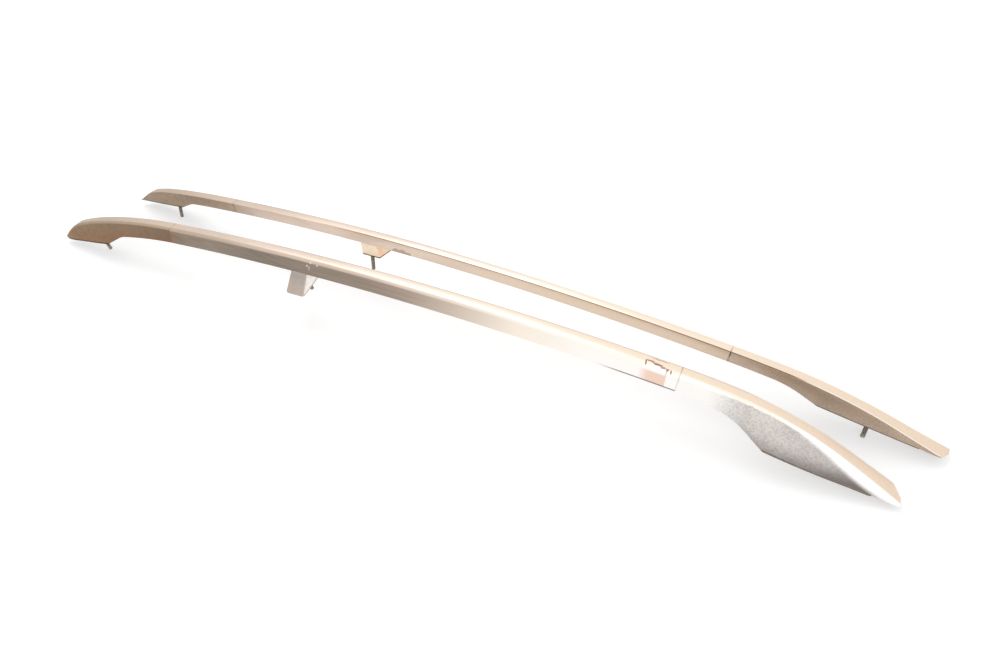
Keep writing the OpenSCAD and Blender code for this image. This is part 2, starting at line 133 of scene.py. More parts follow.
def add(tree, kind, values=None, **settings):
    """Adds a node; values go to its inputs, as numbers or as links from other sockets."""
    node = tree.nodes.new(kind)
    for name, value in settings.items():
        setattr(node, name, value)
    for key, value in (values or {}).items():
        if isinstance(value, bpy.types.NodeSocket):
            tree.links.new(value, node.inputs[key])
        else:
            node.inputs[key].default_value = value
    return node


def maths(tree, operation, a, b=0.0, clamp=False):
    return add(tree, "ShaderNodeMath", {0: a, 1: b}, operation=operation, use_clamp=clamp).outputs[0]


def fade(tree, value, low, high, to_low=0.0, to_high=1.0):
    """A smooth step of value from low to high."""
    node = add(
        tree,
        "ShaderNodeMapRange",
        {"Value": value, "From Min": low, "From Max": high, "To Min": to_low, "To Max": to_high},
        interpolation_type="SMOOTHSTEP",
    )
    return node.outputs[0]


def blend(tree, factor, a, b):
    node = add(tree, "ShaderNodeMix", {0: factor, 6: a, 7: b}, data_type="RGBA")
    return node.outputs[2]


def scaled(tree, vector, factors):
    node = add(tree, "ShaderNodeVectorMath", {0: vector, 1: factors}, operation="MULTIPLY")
    return node.outputs[0]


def noise(tree, vector, scale, detail=3.0, roughness=0.55):
    node = add(
        tree,
        "ShaderNodeTexNoise",
        {"Vector": vector, "Scale": scale, "Detail": detail, "Roughness": roughness},
    )
    return node.outputs["Fac"]


def ramp(tree, value, low, high, stops):
    """A run of colours along value; each stop is (value, colour)."""
    place = maths(tree, "DIVIDE", maths(tree, "SUBTRACT", value, low), high - low, clamp=True)
    node = add(tree, "ShaderNodeValToRGB", {"Fac": place})
    elements = node.color_ramp.elements
    while len(elements) < len(stops):
        elements.new(0.5)
    for element, (at, _) in zip(elements, stops):
        element.position = (at - low) / (high - low)
    for element, (_, colour) in zip(elements, stops):
        element.color = colour
    return node.outputs["Color"]


def new_group(name, inputs, outputs):
    """An empty node group; inputs are (name, socket type, default), outputs (name, socket type)."""
    group = bpy.data.node_groups.new(name, "ShaderNodeTree")
    for label, kind, default in inputs:
        socket = group.interface.new_socket(label, in_out="INPUT", socket_type=kind)
        if default is not None:
            socket.default_value = default
    for label, kind in outputs:
        group.interface.new_socket(label, in_out="OUTPUT", socket_type=kind)
    return group, group.nodes.new("NodeGroupInput"), group.nodes.new("NodeGroupOutput")


def place_group(tree, group, values=None):
    node = tree.nodes.new("ShaderNodeGroup")
    node.node_tree = group
    for key, value in (values or {}).items():
        if isinstance(value, bpy.types.NodeSocket):
            tree.links.new(value, node.inputs[key])
        else:
            node.inputs[key].default_value = value
    return node


FLOAT, VECTOR = "NodeSocketFloat", "NodeSocketVector"


# Effects shared by the materials.

def make_rail_place():
    """Where a point lies on its own rail, from the highest point, and which way it faces."""
    group, source, sink = new_group(
        "rail place",
        [("Side", FLOAT, 1.0)],
        [("Along", FLOAT), ("Out", FLOAT), ("Up", FLOAT), ("Vector", VECTOR), ("Facing Ahead", FLOAT),
         ("Facing Up", FLOAT), ("Facing Out", FLOAT), ("Depth", FLOAT), ("Arc", FLOAT)],
    )
    side = source.outputs["Side"]
    point = add(group, "ShaderNodeTexCoord").outputs["Object"]
    split = add(group, "ShaderNodeSeparateXYZ", {0: point})
    start = maths(group, "ADD", maths(group, "MULTIPLY", side, STAGGER / 2), MIDDLE_X)
    x = maths(group, "SUBTRACT", split.outputs[0], start)
    y = maths(group, "SUBTRACT", maths(group, "MULTIPLY", split.outputs[1], side), PAIR_GAP / 2)
    along = maths(
        group, "SUBTRACT",
        maths(group, "MULTIPLY", x, math.cos(TOE_IN)), maths(group, "MULTIPLY", y, math.sin(TOE_IN)))
    across = maths(
        group, "ADD",
        maths(group, "MULTIPLY", x, math.sin(TOE_IN)), maths(group, "MULTIPLY", y, math.cos(TOE_IN)))
    for sign, seam, reach, sweep in (
        (1, FRONT_SEAM, FRONT_REACH, FRONT_SWEEP), (-1, REAR_SEAM, REAR_REACH, REAR_SWEEP)
    ):
        past = maths(group, "SUBTRACT", maths(group, "MULTIPLY", along, sign), seam)
        share = maths(group, "DIVIDE", maths(group, "MAXIMUM", past, 0.0), reach)
        swept = maths(group, "MULTIPLY", maths(group, "POWER", share, 2.0), sweep)
        across = maths(group, "SUBTRACT", across, swept)
    vector = add(group, "ShaderNodeCombineXYZ", {0: along, 1: across, 2: split.outputs[2]})
    over_centre = maths(group, "ADD", split.outputs[2], ARCH_RADIUS - APEX_HEIGHT)
    squares = (maths(group, "MULTIPLY", length, length) for length in (along, over_centre))
    radius = maths(group, "SQRT", maths(group, "ADD", *squares))
    group.links.new(maths(group, "SUBTRACT", ARCH_RADIUS, radius), sink.inputs["Depth"])
    turned = maths(group, "ARCTAN2", along, over_centre)
    group.links.new(maths(group, "MULTIPLY", turned, ARCH_RADIUS), sink.inputs["Arc"])
    normal = add(group, "ShaderNodeSeparateXYZ", {0: add(group, "ShaderNodeNewGeometry").outputs["Normal"]})
    group.links.new(along, sink.inputs["Along"])
    group.links.new(across, sink.inputs["Out"])
    group.links.new(split.outputs[2], sink.inputs["Up"])
    group.links.new(vector.outputs[0], sink.inputs["Vector"])
    group.links.new(normal.outputs[0], sink.inputs["Facing Ahead"])
    group.links.new(normal.outputs[2], sink.inputs["Facing Up"])
    group.links.new(maths(group, "MULTIPLY", normal.outputs[1], side), sink.inputs["Facing Out"])
    return group


def make_spot():
    """A ragged spot round a centre: 1 inside, 0 outside."""
    group, source, sink = new_group(
        "ragged spot",
        [("Vector", VECTOR, None), ("Centre", VECTOR, None), ("Half Size", VECTOR, None),
         ("Ragged", FLOAT, 0.4), ("Scale", FLOAT, 200.0)],
        [("Mask", FLOAT)],
    )
    offset = add(
        group, "ShaderNodeVectorMath",
        {0: source.outputs["Vector"], 1: source.outputs["Centre"]}, operation="SUBTRACT")
    unit = add(
        group, "ShaderNodeVectorMath",
        {0: offset.outputs[0], 1: source.outputs["Half Size"]}, operation="DIVIDE")
    distance = add(group, "ShaderNodeVectorMath", {0: unit.outputs[0]}, operation="LENGTH").outputs["Value"]
    speckle = add(
        group, "ShaderNodeTexNoise",
        {"Vector": source.outputs["Vector"], "Scale": source.outputs["Scale"], "Detail": 4.0}).outputs["Fac"]
    bumpy = maths(group, "MULTIPLY", maths(group, "SUBTRACT", speckle, 0.5), source.outputs["Ragged"])
    edge = maths(group, "ADD", distance, maths(group, "MULTIPLY", bumpy, 4.0))
    group.links.new(fade(group, edge, 1.05, 0.85), sink.inputs["Mask"])
    return group


def make_brushing():
    """Fine lines drawn along the rail."""
    group, source, sink = new_group(
        "brushed lines",
        [("Vector", VECTOR, None), ("Fineness", FLOAT, 900.0), ("Length", FLOAT, 6.0)],
        [("Lines", FLOAT), ("Height", FLOAT)],
    )
    stretch = add(
        group, "ShaderNodeCombineXYZ",
        {0: source.outputs["Length"], 1: source.outputs["Fineness"], 2: source.outputs["Fineness"]})
    stretched = add(
        group, "ShaderNodeVectorMath",
        {0: source.outputs["Vector"], 1: stretch.outputs[0]}, operation="MULTIPLY")
    lines = noise(group, stretched.outputs[0], 1.0, 2.0)
    group.links.new(fade(group, lines, 0.3, 0.7), sink.inputs["Lines"])
    group.links.new(lines, sink.inputs["Height"])
    return group


def make_cast_skin():
    """Mottled, slightly pitted skin of a blasted casting."""
    group, source, sink = new_group(
        "cast skin",
        [("Vector", VECTOR, None), ("Scale", FLOAT, 90.0)],
        [("Mottle", FLOAT), ("Pits", FLOAT), ("Height", FLOAT)],
    )
    vector, scale = source.outputs["Vector"], source.outputs["Scale"]
    large = noise(group, vector, 24.0, 4.0, 0.6)
    fine = add(
        group, "ShaderNodeTexNoise",
        {"Vector": vector, "Scale": scale, "Detail": 6.0, "Roughness": 0.65})
    grit = noise(group, vector, 900.0, 2.0)
    both = add(group, "ShaderNodeMix", {0: 0.75, 2: large, 3: fine.outputs["Fac"]}).outputs[0]
    group.links.new(fade(group, both, 0.38, 0.62), sink.inputs["Mottle"])
    group.links.new(fade(group, fine.outputs["Fac"], 0.66, 0.74), sink.inputs["Pits"])
    height = add(group, "ShaderNodeMix", {0: 0.4, 2: fine.outputs["Fac"], 3: grit}).outputs[0]
    group.links.new(height, sink.inputs["Height"])
    return group


RAIL_PLACE = make_rail_place()
SPOT = make_spot()
BRUSHING = make_brushing()
CAST_SKIN = make_cast_skin()


def new_material(name):
    """A material with only its output and a Principled BSDF."""
    material = bpy.data.materials.new(name)
    material.use_nodes = True
    tree = material.node_tree
    shader = next(n for n in tree.nodes if n.type == "BSDF_PRINCIPLED")
    return material, tree, shader


def spot(tree, place, centre, half, ragged=0.4, scale=200.0):
    node = place_group(tree, SPOT, {
        "Vector": place.outputs["Vector"], "Centre": centre, "Half Size": half,
        "Ragged": ragged, "Scale": scale})
    return node.outputs["Mask"]


# Colours of the bare metal as the photograph shows them, by the way the surface faces and along the rail:
# painted light and shade, with painted highlights where the shoulder and the outer face turn white.
TONES_FROM, TONES_TO = -0.96, 0.88
TOP_TONES = [
    (-0.96, srgb(158, 138, 116)), (-0.88, srgb(186, 166, 145)), (-0.72, srgb(205, 185, 166)),
    (-0.45, srgb(222, 203, 186)), (-0.15, srgb(238, 218, 202)), (0.25, srgb(245, 228, 209)),
    (0.6, srgb(247, 228, 206)), (0.88, srgb(241, 219, 196)),
]
SHOULDER_TONES = [
    (-0.96, srgb(150, 130, 108)), (-0.80, srgb(176, 156, 134)), (-0.60, srgb(190, 168, 146)),
    (-0.40, srgb(205, 184, 166)), (-0.10, srgb(218, 198, 182)), (0.10, srgb(240, 224, 208)),
    (0.25, srgb(255, 249, 240)), (0.50, srgb(255, 246, 234)), (0.66, srgb(252, 236, 216)),
    (0.74, srgb(255, 252, 248)), (0.88, srgb(255, 253, 250)),
]
OUTER_TONES = [
    (-0.96, srgb(152, 126, 98)), (-0.70, srgb(144, 119, 95)), (-0.60, srgb(130, 111, 92)),
    (-0.48, srgb(142, 129, 115)), (-0.36, srgb(126, 112, 99)), (-0.10, srgb(146, 131, 117)),
    (0.00, srgb(168, 150, 136)), (0.10, srgb(206, 190, 174)), (0.22, srgb(248, 236, 220)),
    (0.36, srgb(254, 251, 246)), (0.56, srgb(252, 250, 247)), (0.63, srgb(208, 202, 197)),
    (0.88, srgb(176, 168, 166)),
]
INNER_TONES = [
    (-0.96, srgb(160, 136, 112)), (-0.72, srgb(168, 148, 127)), (-0.62, srgb(186, 166, 146)),
    (-0.52, srgb(232, 212, 197)), (-0.30, srgb(250, 231, 215)), (0.10, srgb(247, 228, 206)),
    (0.44, srgb(243, 222, 200)), (0.52, srgb(226, 206, 184)), (0.62, srgb(214, 193, 171)),
    (0.88, srgb(206, 184, 163)),
]

# Colours of the marks and stains on the metal, and of the painted shade and painted highlights on it.
SEAM_DIRT = srgb(92, 74, 60)
EDGE_DARK_LINE = srgb(112, 84, 68)
EDGE_HIGHLIGHT = srgb(255, 250, 242)
EDGE_SHADE = srgb(140, 112, 94)
LABEL_GLUE = srgb(150, 98, 74)
LABEL_GLARE = srgb(255, 252, 250)
BLEACHED_PINK = srgb(240, 205, 186)
RUST = srgb(158, 100, 62)
SCRATCH_WHITE = srgb(244, 236, 226)
LOWER_EDGE_SHADE = srgb(104, 96, 90)
DARK_PATCH = srgb(158, 134, 116)
DULL_BROWN = srgb(110, 92, 80)
BRUSHED_WHITE = srgb(255, 244, 232)
MOTTLE_GREY = srgb(112, 104, 98)
PIT_BROWN = srgb(90, 80, 72)
LOW_SHADE = srgb(92, 82, 76)
LOW_BROWN = srgb(142, 98, 66)
SHOULDER_HIGHLIGHT = srgb(255, 253, 250)
NECK_HIGHLIGHT = srgb(253, 250, 246)
UNDERSIDE_SHADE = srgb(84, 66, 54)


def metal_tone_with_painted_light(tree, place, outer_face):
    """The metal's colour from place and facing, as painted light and shade; outer_face is how squarely the
    outer face faces out.
    """
    along = place.outputs["Along"]
    top, shoulder, outer, inner = (
        ramp(tree, along, TONES_FROM, TONES_TO, tones)
        for tones in (TOP_TONES, SHOULDER_TONES, OUTER_TONES, INNER_TONES))
    facing_out = place.outputs["Facing Out"]
    tone = blend(tree, fade(tree, facing_out, 0.12, 0.34), top, shoulder)
    tone = blend(tree, fade(tree, facing_out, outer_face - 0.24, outer_face - 0.04), tone, outer)
    return blend(tree, fade(tree, facing_out, -0.5, -0.85), tone, inner)


def near(tree, value, at, reach):
    """1 where value is at its place, fading to 0 at reach to either side."""
    away = maths(tree, "ABSOLUTE", maths(tree, "SUBTRACT", value, at))
    return fade(tree, away, reach, reach * 0.3)


def tinted(tree, mask, strength, colour, tint):
    """Lays a tint over the colour where the mask is 1."""
    return blend(tree, maths(tree, "MULTIPLY", mask, strength), colour, tint)


def seam_grime(tree, place, colour):
    """Dirt held in the joints between profile and feet."""
    arc = place.outputs["Arc"]
    front = near(tree, arc, FRONT_SEAM_ARC, 0.0017)
    rear = near(tree, arc, -REAR_SEAM_ARC, 0.0014)
    mask = maths(tree, "MAXIMUM", front, rear)
    inside = fade(tree, place.outputs["Facing Out"], 0.1, -0.5, 0.15, 0.95)
    return tinted(tree, maths(tree, "MULTIPLY", mask, inside), 1.0, colour, SEAM_DIRT)


def inner_edge_lines(tree, place, colour, side):
    """A dark line along the upper inner edge, a painted highlight on that edge toward the front, and painted
    shade on the inner face just below the edge.
    """
    edge = near(tree, place.outputs["Out"], 0.0008, 0.0022)
    along = place.outputs["Along"]
    inside = fade(tree, place.outputs["Facing Out"], -0.3, -0.8)
    top = maths(tree, "MULTIPLY", edge, fade(tree, place.outputs["Facing Up"], 0.5, 0.8))
    # Painted highlight along the edge toward the front.
    lighter_edge = maths(tree, "MULTIPLY", top, fade(tree, along, 0.63, 0.68))
    colour = tinted(tree, lighter_edge, 0.85, colour, EDGE_HIGHLIGHT)
    # A dark line along the edge, from the rear foot to the front foot.
    dark_line = maths(tree, "MULTIPLY", top, fade(tree, along, 0.65, 0.61))
    dark_line = maths(tree, "MULTIPLY", dark_line, fade(tree, along, -0.42, -0.22))
    colour = tinted(tree, dark_line, 0.95 if side == "left" else 0.3, colour, EDGE_DARK_LINE)
    return tinted(tree, maths(tree, "MULTIPLY", edge, inside), 0.25, colour, EDGE_SHADE)


def finish_metal(tree, shader, colour, roughness, height, bump, metallic=0.85):
    tree.links.new(colour, shader.inputs["Base Color"])
    tree.links.new(roughness, shader.inputs["Roughness"])
    shader.inputs["Metallic"].default_value = metallic
    relief = add(tree, "ShaderNodeBump", {"Height": height, "Strength": bump, "Distance": 0.0003})
    tree.links.new(relief.outputs[0], shader.inputs["Normal"])


def stroke(tree, place, centre, half, wobble=0.0):
    """A thin stroke that wanders a little."""
    vector = place.outputs["Vector"]
    if wobble:
        drift = add(
            tree, "ShaderNodeTexNoise", {"Vector": vector, "Scale": 180.0, "Detail": 2.0}).outputs["Color"]
        drift = add(
            tree, "ShaderNodeVectorMath", {0: drift, 1: (0.5, 0.5, 0.5)}, operation="SUBTRACT").outputs[0]
        drift = scaled(tree, drift, (wobble, wobble, 0.0))
        vector = add(tree, "ShaderNodeVectorMath", {0: vector, 1: drift}, operation="ADD").outputs[0]
    node = place_group(tree, SPOT, {
        "Vector": vector, "Centre": centre, "Half Size": half, "Ragged": 0.25, "Scale": 500.0})
    return node.outputs["Mask"]


# Remains of a torn label on the right rail's top: centre and half size of each stroke.
LABEL_STROKES = [
    ((0.4525, 0.0165, 0.127), (0.0016, 0.0060, 0.02)),
    ((0.4600, 0.0120, 0.127), (0.0070, 0.0016, 0.02)),
    ((0.4720, 0.0150, 0.127), (0.0110, 0.0024, 0.02)),
    ((0.4850, 0.0180, 0.127), (0.0080, 0.0018, 0.02)),
    ((0.4890, 0.0225, 0.127), (0.0018, 0.0052, 0.02)),
    ((0.4960, 0.0200, 0.127), (0.0013, 0.0035, 0.02)),
    ((0.4740, 0.0045, 0.127), (0.0160, 0.0006, 0.02)),
]
SCRATCHES = [
    ((-0.2210, 0.0230, 0.134), (0.0020, 0.0016, 0.010)),
    ((-0.2050, 0.0245, 0.133), (0.0022, 0.0008, 0.010)),
    ((-0.2240, 0.0290, 0.127), (0.0010, 0.0040, 0.004)),
    ((-0.2290, 0.0265, 0.130), (0.0016, 0.0010, 0.004)),
]


def right_profile_marks(tree, place, colour):
    """Label residue with a painted glare on it, bleached patch, rust stain, scratches and painted shade
    along the lower edge.
    """
    for centre, half in LABEL_STROKES:
        colour = tinted(tree, stroke(tree, place, centre, half, 0.004), 0.85, colour, LABEL_GLUE)
    glare = spot(tree, place, (0.470, 0.026, 0.118), (0.024, 0.010, 0.02), 0.3, 120.0)
    colour = tinted(tree, glare, 0.7, colour, LABEL_GLARE)
    patch_from = fade(tree, place.outputs["Along"], 0.440, 0.462)
    patch_to = fade(tree, place.outputs["Along"], 0.4905, 0.4895)
    patch = maths(tree, "MULTIPLY", patch_from, patch_to)
    patch = maths(tree, "MULTIPLY", patch, fade(tree, place.outputs["Depth"], 0.0075, 0.0105))
    patch = maths(tree, "MULTIPLY", patch, fade(tree, place.outputs["Facing Out"], 0.5, 0.8))
    colour = tinted(tree, patch, 0.9, colour, BLEACHED_PINK)
    rust = spot(tree, place, (-0.592, 0.028, 0.099), (0.0080, 0.02, 0.010), 0.6, 260.0)
    colour = tinted(tree, rust, 0.45, colour, RUST)
    for centre, half in SCRATCHES:
        colour = tinted(tree, stroke(tree, place, centre, half), 0.8, colour, SCRATCH_WHITE)
    # Painted shade along the outer face's lower edge.
    edge = fade(tree, place.outputs["Depth"], 0.0258, 0.0268)
    edge = maths(tree, "MULTIPLY", edge, fade(tree, place.outputs["Along"], 0.36, 0.42))
    return tinted(tree, edge, 0.8, colour, LOWER_EDGE_SHADE)


def left_profile_marks(tree, place, colour):
    """A darker patch by the middle foot."""
    dark_patch = spot(tree, place, (-0.148, 0.0, 0.123), (0.024, 0.010, 0.007), 0.4, 150.0)
    return tinted(tree, dark_patch, 0.65, colour, DARK_PATCH)


def make_profile_material(side):
    """Drawn and brushed profile, dulled toward the rear."""
    material, tree, shader = new_material(side + "_profile_metal")
    place = place_group(tree, RAIL_PLACE, {"Side": SIDES[side]})
    vector = place.outputs["Vector"]
    brushing = place_group(tree, BRUSHING, {"Vector": vector})
    # Painted light and shade by facing and along the rail.
    colour = metal_tone_with_painted_light(tree, place, 0.94)
    cloud = noise(tree, scaled(tree, vector, (6.0, 30.0, 30.0)), 1.0, 4.0)
    rear_share = fade(tree, place.outputs["Along"], 0.15, -0.1)
    dulling = maths(tree, "MULTIPLY", fade(tree, cloud, 0.35, 0.7, 0.0, 0.14), rear_share)
    colour = blend(tree, dulling, colour, DULL_BROWN)
    brushed = maths(tree, "MULTIPLY", brushing.outputs["Lines"], 0.10)
    colour = blend(tree, brushed, colour, BRUSHED_WHITE)
    marks = right_profile_marks if side == "right" else left_profile_marks
    colour = inner_edge_lines(tree, place, marks(tree, place, colour), side)
    colour = seam_grime(tree, place, colour)
    roughness = maths(tree, "ADD", maths(tree, "MULTIPLY", cloud, 0.2), 0.26)
    finish_metal(tree, shader, colour, roughness, brushing.outputs["Height"], 0.12)
    return material


def front_foot_painted_light(tree, place, low, outside, colour):
    """The front foot's outer face: painted shade low down and at its tip, painted highlights on its neck and
    shoulder.
    """
    along = place.outputs["Along"]
    tip = fade(tree, along, 0.64, 0.84, 0.45, 0.85)
    foot_shade = maths(tree, "MULTIPLY", fade(tree, low, 0.020, 0.0005), tip)
    colour = blend(tree, maths(tree, "MULTIPLY", foot_shade, outside), colour, LOW_SHADE)
    # Painted highlight along the shoulder, widening toward the tip.
    flat_edge = fade(tree, along, 0.55, 0.90, 0.0145, 0.0250)
    past_flat = maths(tree, "SUBTRACT", place.outputs["Out"], flat_edge)
    glow_width = fade(tree, along, 0.66, 0.84, 0.0005, 0.0120)
    glow = fade(tree, maths(tree, "SUBTRACT", past_flat, glow_width), 0.0060, -0.0010)
    glow = maths(tree, "MULTIPLY", glow, fade(tree, place.outputs["Facing Out"], 0.15, 0.4))
    colour = blend(tree, maths(tree, "MULTIPLY", glow, 0.95), colour, SHOULDER_HIGHLIGHT)
    # Painted highlight on the outer face of the neck.
    neck_highlight = maths(tree, "MULTIPLY", fade(tree, along, 0.61, 0.55), outside)
    return blend(tree, maths(tree, "MULTIPLY", neck_highlight, 0.9), colour, NECK_HIGHLIGHT)


def rear_foot_tones(tree, low, outside, colour):
    """The rear foot's outer face: browner toward its base."""
    foot_shade = maths(tree, "MULTIPLY", fade(tree, low, 0.034, 0.003, 0.0, 0.5), outside)
    return blend(tree, foot_shade, colour, LOW_BROWN)


def make_foot_material(side, end):
    """Cast foot: blasted skin, mottled on its outer face and smoother on top."""
    material, tree, shader = new_material("%s_%s_foot_metal" % (side, end))
    place = place_group(tree, RAIL_PLACE, {"Side": SIDES[side]})
    vector = place.outputs["Vector"]
    grain, outer_face, mottle_depth = {
        "front": (330.0, 0.80, 0.30),
        "rear": (90.0, 0.86, 0.12),
    }[end]
    skin = place_group(tree, CAST_SKIN, {"Vector": vector, "Scale": grain})
    # Painted light and shade by facing and along the rail.
    colour = metal_tone_with_painted_light(tree, place, outer_face)
    lit = fade(tree, place.outputs["Facing Up"], 0.9, 0.6, 0.15, 1.0)
    mottle = maths(tree, "MULTIPLY", skin.outputs["Mottle"], mottle_depth)
    colour = blend(tree, maths(tree, "MULTIPLY", mottle, lit), colour, MOTTLE_GREY)
    pits = maths(tree, "MULTIPLY", skin.outputs["Pits"], 0.3)
    colour = blend(tree, maths(tree, "MULTIPLY", pits, lit), colour, PIT_BROWN)
    low = foot_height(tree, place, end)
    outside = fade(tree, place.outputs["Facing Out"], 0.3, 0.6)
    if end == "front":
        colour = front_foot_painted_light(tree, place, low, outside, colour)
    else:
        colour = rear_foot_tones(tree, low, outside, colour)
    # Painted shade on faces that turn downward.
    under = fade(tree, place.outputs["Facing Up"], -0.3, -0.5, 0.0, 0.9)
    colour = blend(tree, under, colour, UNDERSIDE_SHADE)
    colour = inner_edge_lines(tree, place, colour, side)
    colour = seam_grime(tree, place, colour)
    roughness = maths(tree, "ADD", maths(tree, "MULTIPLY", skin.outputs["Mottle"], 0.18), 0.34)
    finish_metal(tree, shader, colour, roughness, skin.outputs["Height"], 0.35)
    return material


def foot_height(tree, place, end):
    """Height over the foot's base, which falls with the roof outward and toward the tip."""
    stud_along, base, pitch = {
        "front": (FRONT_STUD_ALONG, FRONT_BASE_INSIDE, FRONT_PITCH),
        "rear": (-REAR_SEAM - REAR_STUD_REACH, REAR_BASE_INSIDE, -REAR_PITCH),
    }[end]
    past_stud = maths(tree, "SUBTRACT", place.outputs["Along"], stud_along)
    toward_tip = maths(tree, "MULTIPLY", past_stud, math.tan(pitch))
    outward = maths(tree, "MULTIPLY", place.outputs["Out"], math.tan(ROOF_SLOPE))
    over_base = maths(tree, "SUBTRACT", place.outputs["Up"], base)
    return maths(tree, "ADD", over_base, maths(tree, "ADD", toward_tip, outward))


def make_middle_material(side):
    """Cast middle foot: painted shade on its greyer outer face, painted light on its warm, bright inner
    face, and painted shade underneath.
    """
    material, tree, shader = new_material(side + "_middle_foot_metal")
    place = place_group(tree, RAIL_PLACE, {"Side": SIDES[side]})
    skin = place_group(tree, CAST_SKIN, {"Vector": place.outputs["Vector"], "Scale": 140.0})
    high = fade(tree, place.outputs["Up"], 0.088, 0.108)
    outside = blend(tree, high, srgb(196, 180, 168), srgb(180, 170, 163))
    inside = blend(tree, high, srgb(250, 222, 190), srgb(255, 238, 214))
    # The right foot's end face takes a painted highlight of near-white.
    end_face = srgb(255, 253, 250) if side == "right" else srgb(252, 214, 178)
    inside = blend(tree, fade(tree, place.outputs["Facing Ahead"], 0.5, 0.8), inside, end_face)
    colour = blend(tree, fade(tree, place.outputs["Facing Out"], 0.3, 0.7), inside, outside)
    colour = blend(tree, maths(tree, "MULTIPLY", skin.outputs["Mottle"], 0.1), colour, srgb(120, 108, 98))
    # Painted shade on faces that turn downward.
    under = fade(tree, place.outputs["Facing Up"], -0.25, -0.55, 0.0, 0.7)
    colour = blend(tree, under, colour, srgb(110, 90, 76))
    roughness = maths(tree, "ADD", maths(tree, "MULTIPLY", skin.outputs["Mottle"], 0.15), 0.36)
    finish_metal(tree, shader, colour, roughness, skin.outputs["Height"], 0.3)
    return material


def make_middle_edge(name, lighter_edge, darker_edge):
    """The middle foot's edges: a painted highlight on the right foot's, painted shade on the left foot's."""
    material, tree, shader = new_material(name)
    point = add(tree, "ShaderNodeTexCoord").outputs["Object"]
    edge_noise = noise(tree, point, 300.0, 4.0)
    colour = blend(tree, fade(tree, edge_noise, 0.35, 0.65, 0.0, 0.5), lighter_edge, darker_edge)
    finish_metal(tree, shader, colour, maths(tree, "ADD", maths(tree, "MULTIPLY", edge_noise, 0.2), 0.2), edge_noise, 0.1)
    return material


def make_rubber(name, clean, dusty):
    """Matt rubber with dust in patches."""
    material, tree, shader = new_material(name)
    point = add(tree, "ShaderNodeTexCoord").outputs["Object"]
    dust = noise(tree, point, 120.0, 5.0)
    colour = blend(tree, fade(tree, dust, 0.4, 0.75, 0.0, 0.5), clean, dusty)
    tree.links.new(colour, shader.inputs["Base Color"])
    tree.links.new(maths(tree, "ADD", maths(tree, "MULTIPLY", dust, 0.2), 0.65), shader.inputs["Roughness"])
    relief = add(tree, "ShaderNodeBump", {"Height": dust, "Strength": 0.3, "Distance": 0.0004})
    tree.links.new(relief.outputs[0], shader.inputs["Normal"])
    return material


def make_steel():
    """Dulled zinc plate with dirt in the low places."""
    material, tree, shader = new_material("stud_steel")
    point = add(tree, "ShaderNodeTexCoord").outputs["Object"]
    grime = noise(tree, point, 260.0, 5.0)
    colour = blend(tree, fade(tree, grime, 0.4, 0.68, 0.0, 0.7), srgb(186, 178, 166), srgb(108, 96, 84))
    tree.links.new(colour, shader.inputs["Base Color"])
    tree.links.new(maths(tree, "ADD", maths(tree, "MULTIPLY", grime, 0.3), 0.28), shader.inputs["Roughness"])
    shader.inputs["Metallic"].default_value = 0.9
    relief = add(tree, "ShaderNodeBump", {"Height": grime, "Strength": 0.2, "Distance": 0.0002})
    tree.links.new(relief.outputs[0], shader.inputs["Normal"])
    return material


RUBBER = make_rubber("pad_rubber", srgb(64, 50, 42), srgb(122, 104, 88))
DUSTY_RUBBER = make_rubber("pad_rubber_dusty", srgb(122, 112, 104), srgb(160, 148, 138))
PALE_RUBBER = make_rubber("pad_rubber_pale", srgb(206, 188, 172), srgb(232, 220, 208))
STEEL = make_steel()
# Painted highlight on the right middle foot's edges, painted shade on the left's.
MIDDLE_EDGES = {
    "right": make_middle_edge("middle_foot_edge_highlight", srgb(255, 248, 238), srgb(226, 208, 190)),
    "left": make_middle_edge("middle_foot_edge_shade", srgb(206, 166, 132), srgb(160, 122, 94)),
}


def finish_piece(piece, materials, bevel=0.0):
    """Gives a piece its materials and smooth shading with crisp edges."""
    piece.data.materials.clear()
    for material in materials:
        piece.data.materials.append(material)
    if piece.data.has_custom_normals:
        piece.data.attributes.remove(piece.data.attributes["custom_normal"])
    for face in piece.data.polygons:
        face.use_smooth = True
        face.material_index = 0
    weld = piece.modifiers.new("weld", "WELD")
    weld.merge_threshold = 0.00001
    if bevel:
        soften = piece.modifiers.new("soft edges", "BEVEL")
        soften.width = bevel
        soften.segments = 2
        soften.limit_method = "ANGLE"
        soften.angle_limit = math.radians(35)
        soften.material = len(materials) - 1
    split = piece.modifiers.new("crisp edges", "EDGE_SPLIT")
    split.split_angle = math.radians(30)


def new_piece(name, mesh, node):
    """A piece that stands for a CAD node."""
    piece = bpy.data.objects.new(name, mesh)
    bpy.context.scene.collection.objects.link(piece)
    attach(piece, "root")
    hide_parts(node)
    return piece


# Shapes that are finer than their solids.

def rail_turn(side):
    """From a rail's own frame, drawn for the left hand, to the pair's."""
    sign = SIDES[side]
    mirror = Matrix.Diagonal((1, sign, 1, 1))
    shift = Matrix.Translation((MIDDLE_X + sign * STAGGER / 2, sign * PAIR_GAP / 2, 0))
    return shift @ mirror @ Matrix.Rotation(-TOE_IN, 4, "Z")


def reshaped(node, side, move):
    """A copy of a CAD node's mesh with its points moved in the rail's own frame."""
    mesh = frame["nodes"][node].data.copy()
    there = rail_turn(side)
    back = there.inverted()
    for vertex in mesh.vertices:
        vertex.co = there @ move(back @ vertex.co)
    return new_piece(node + "_shape", mesh, node)


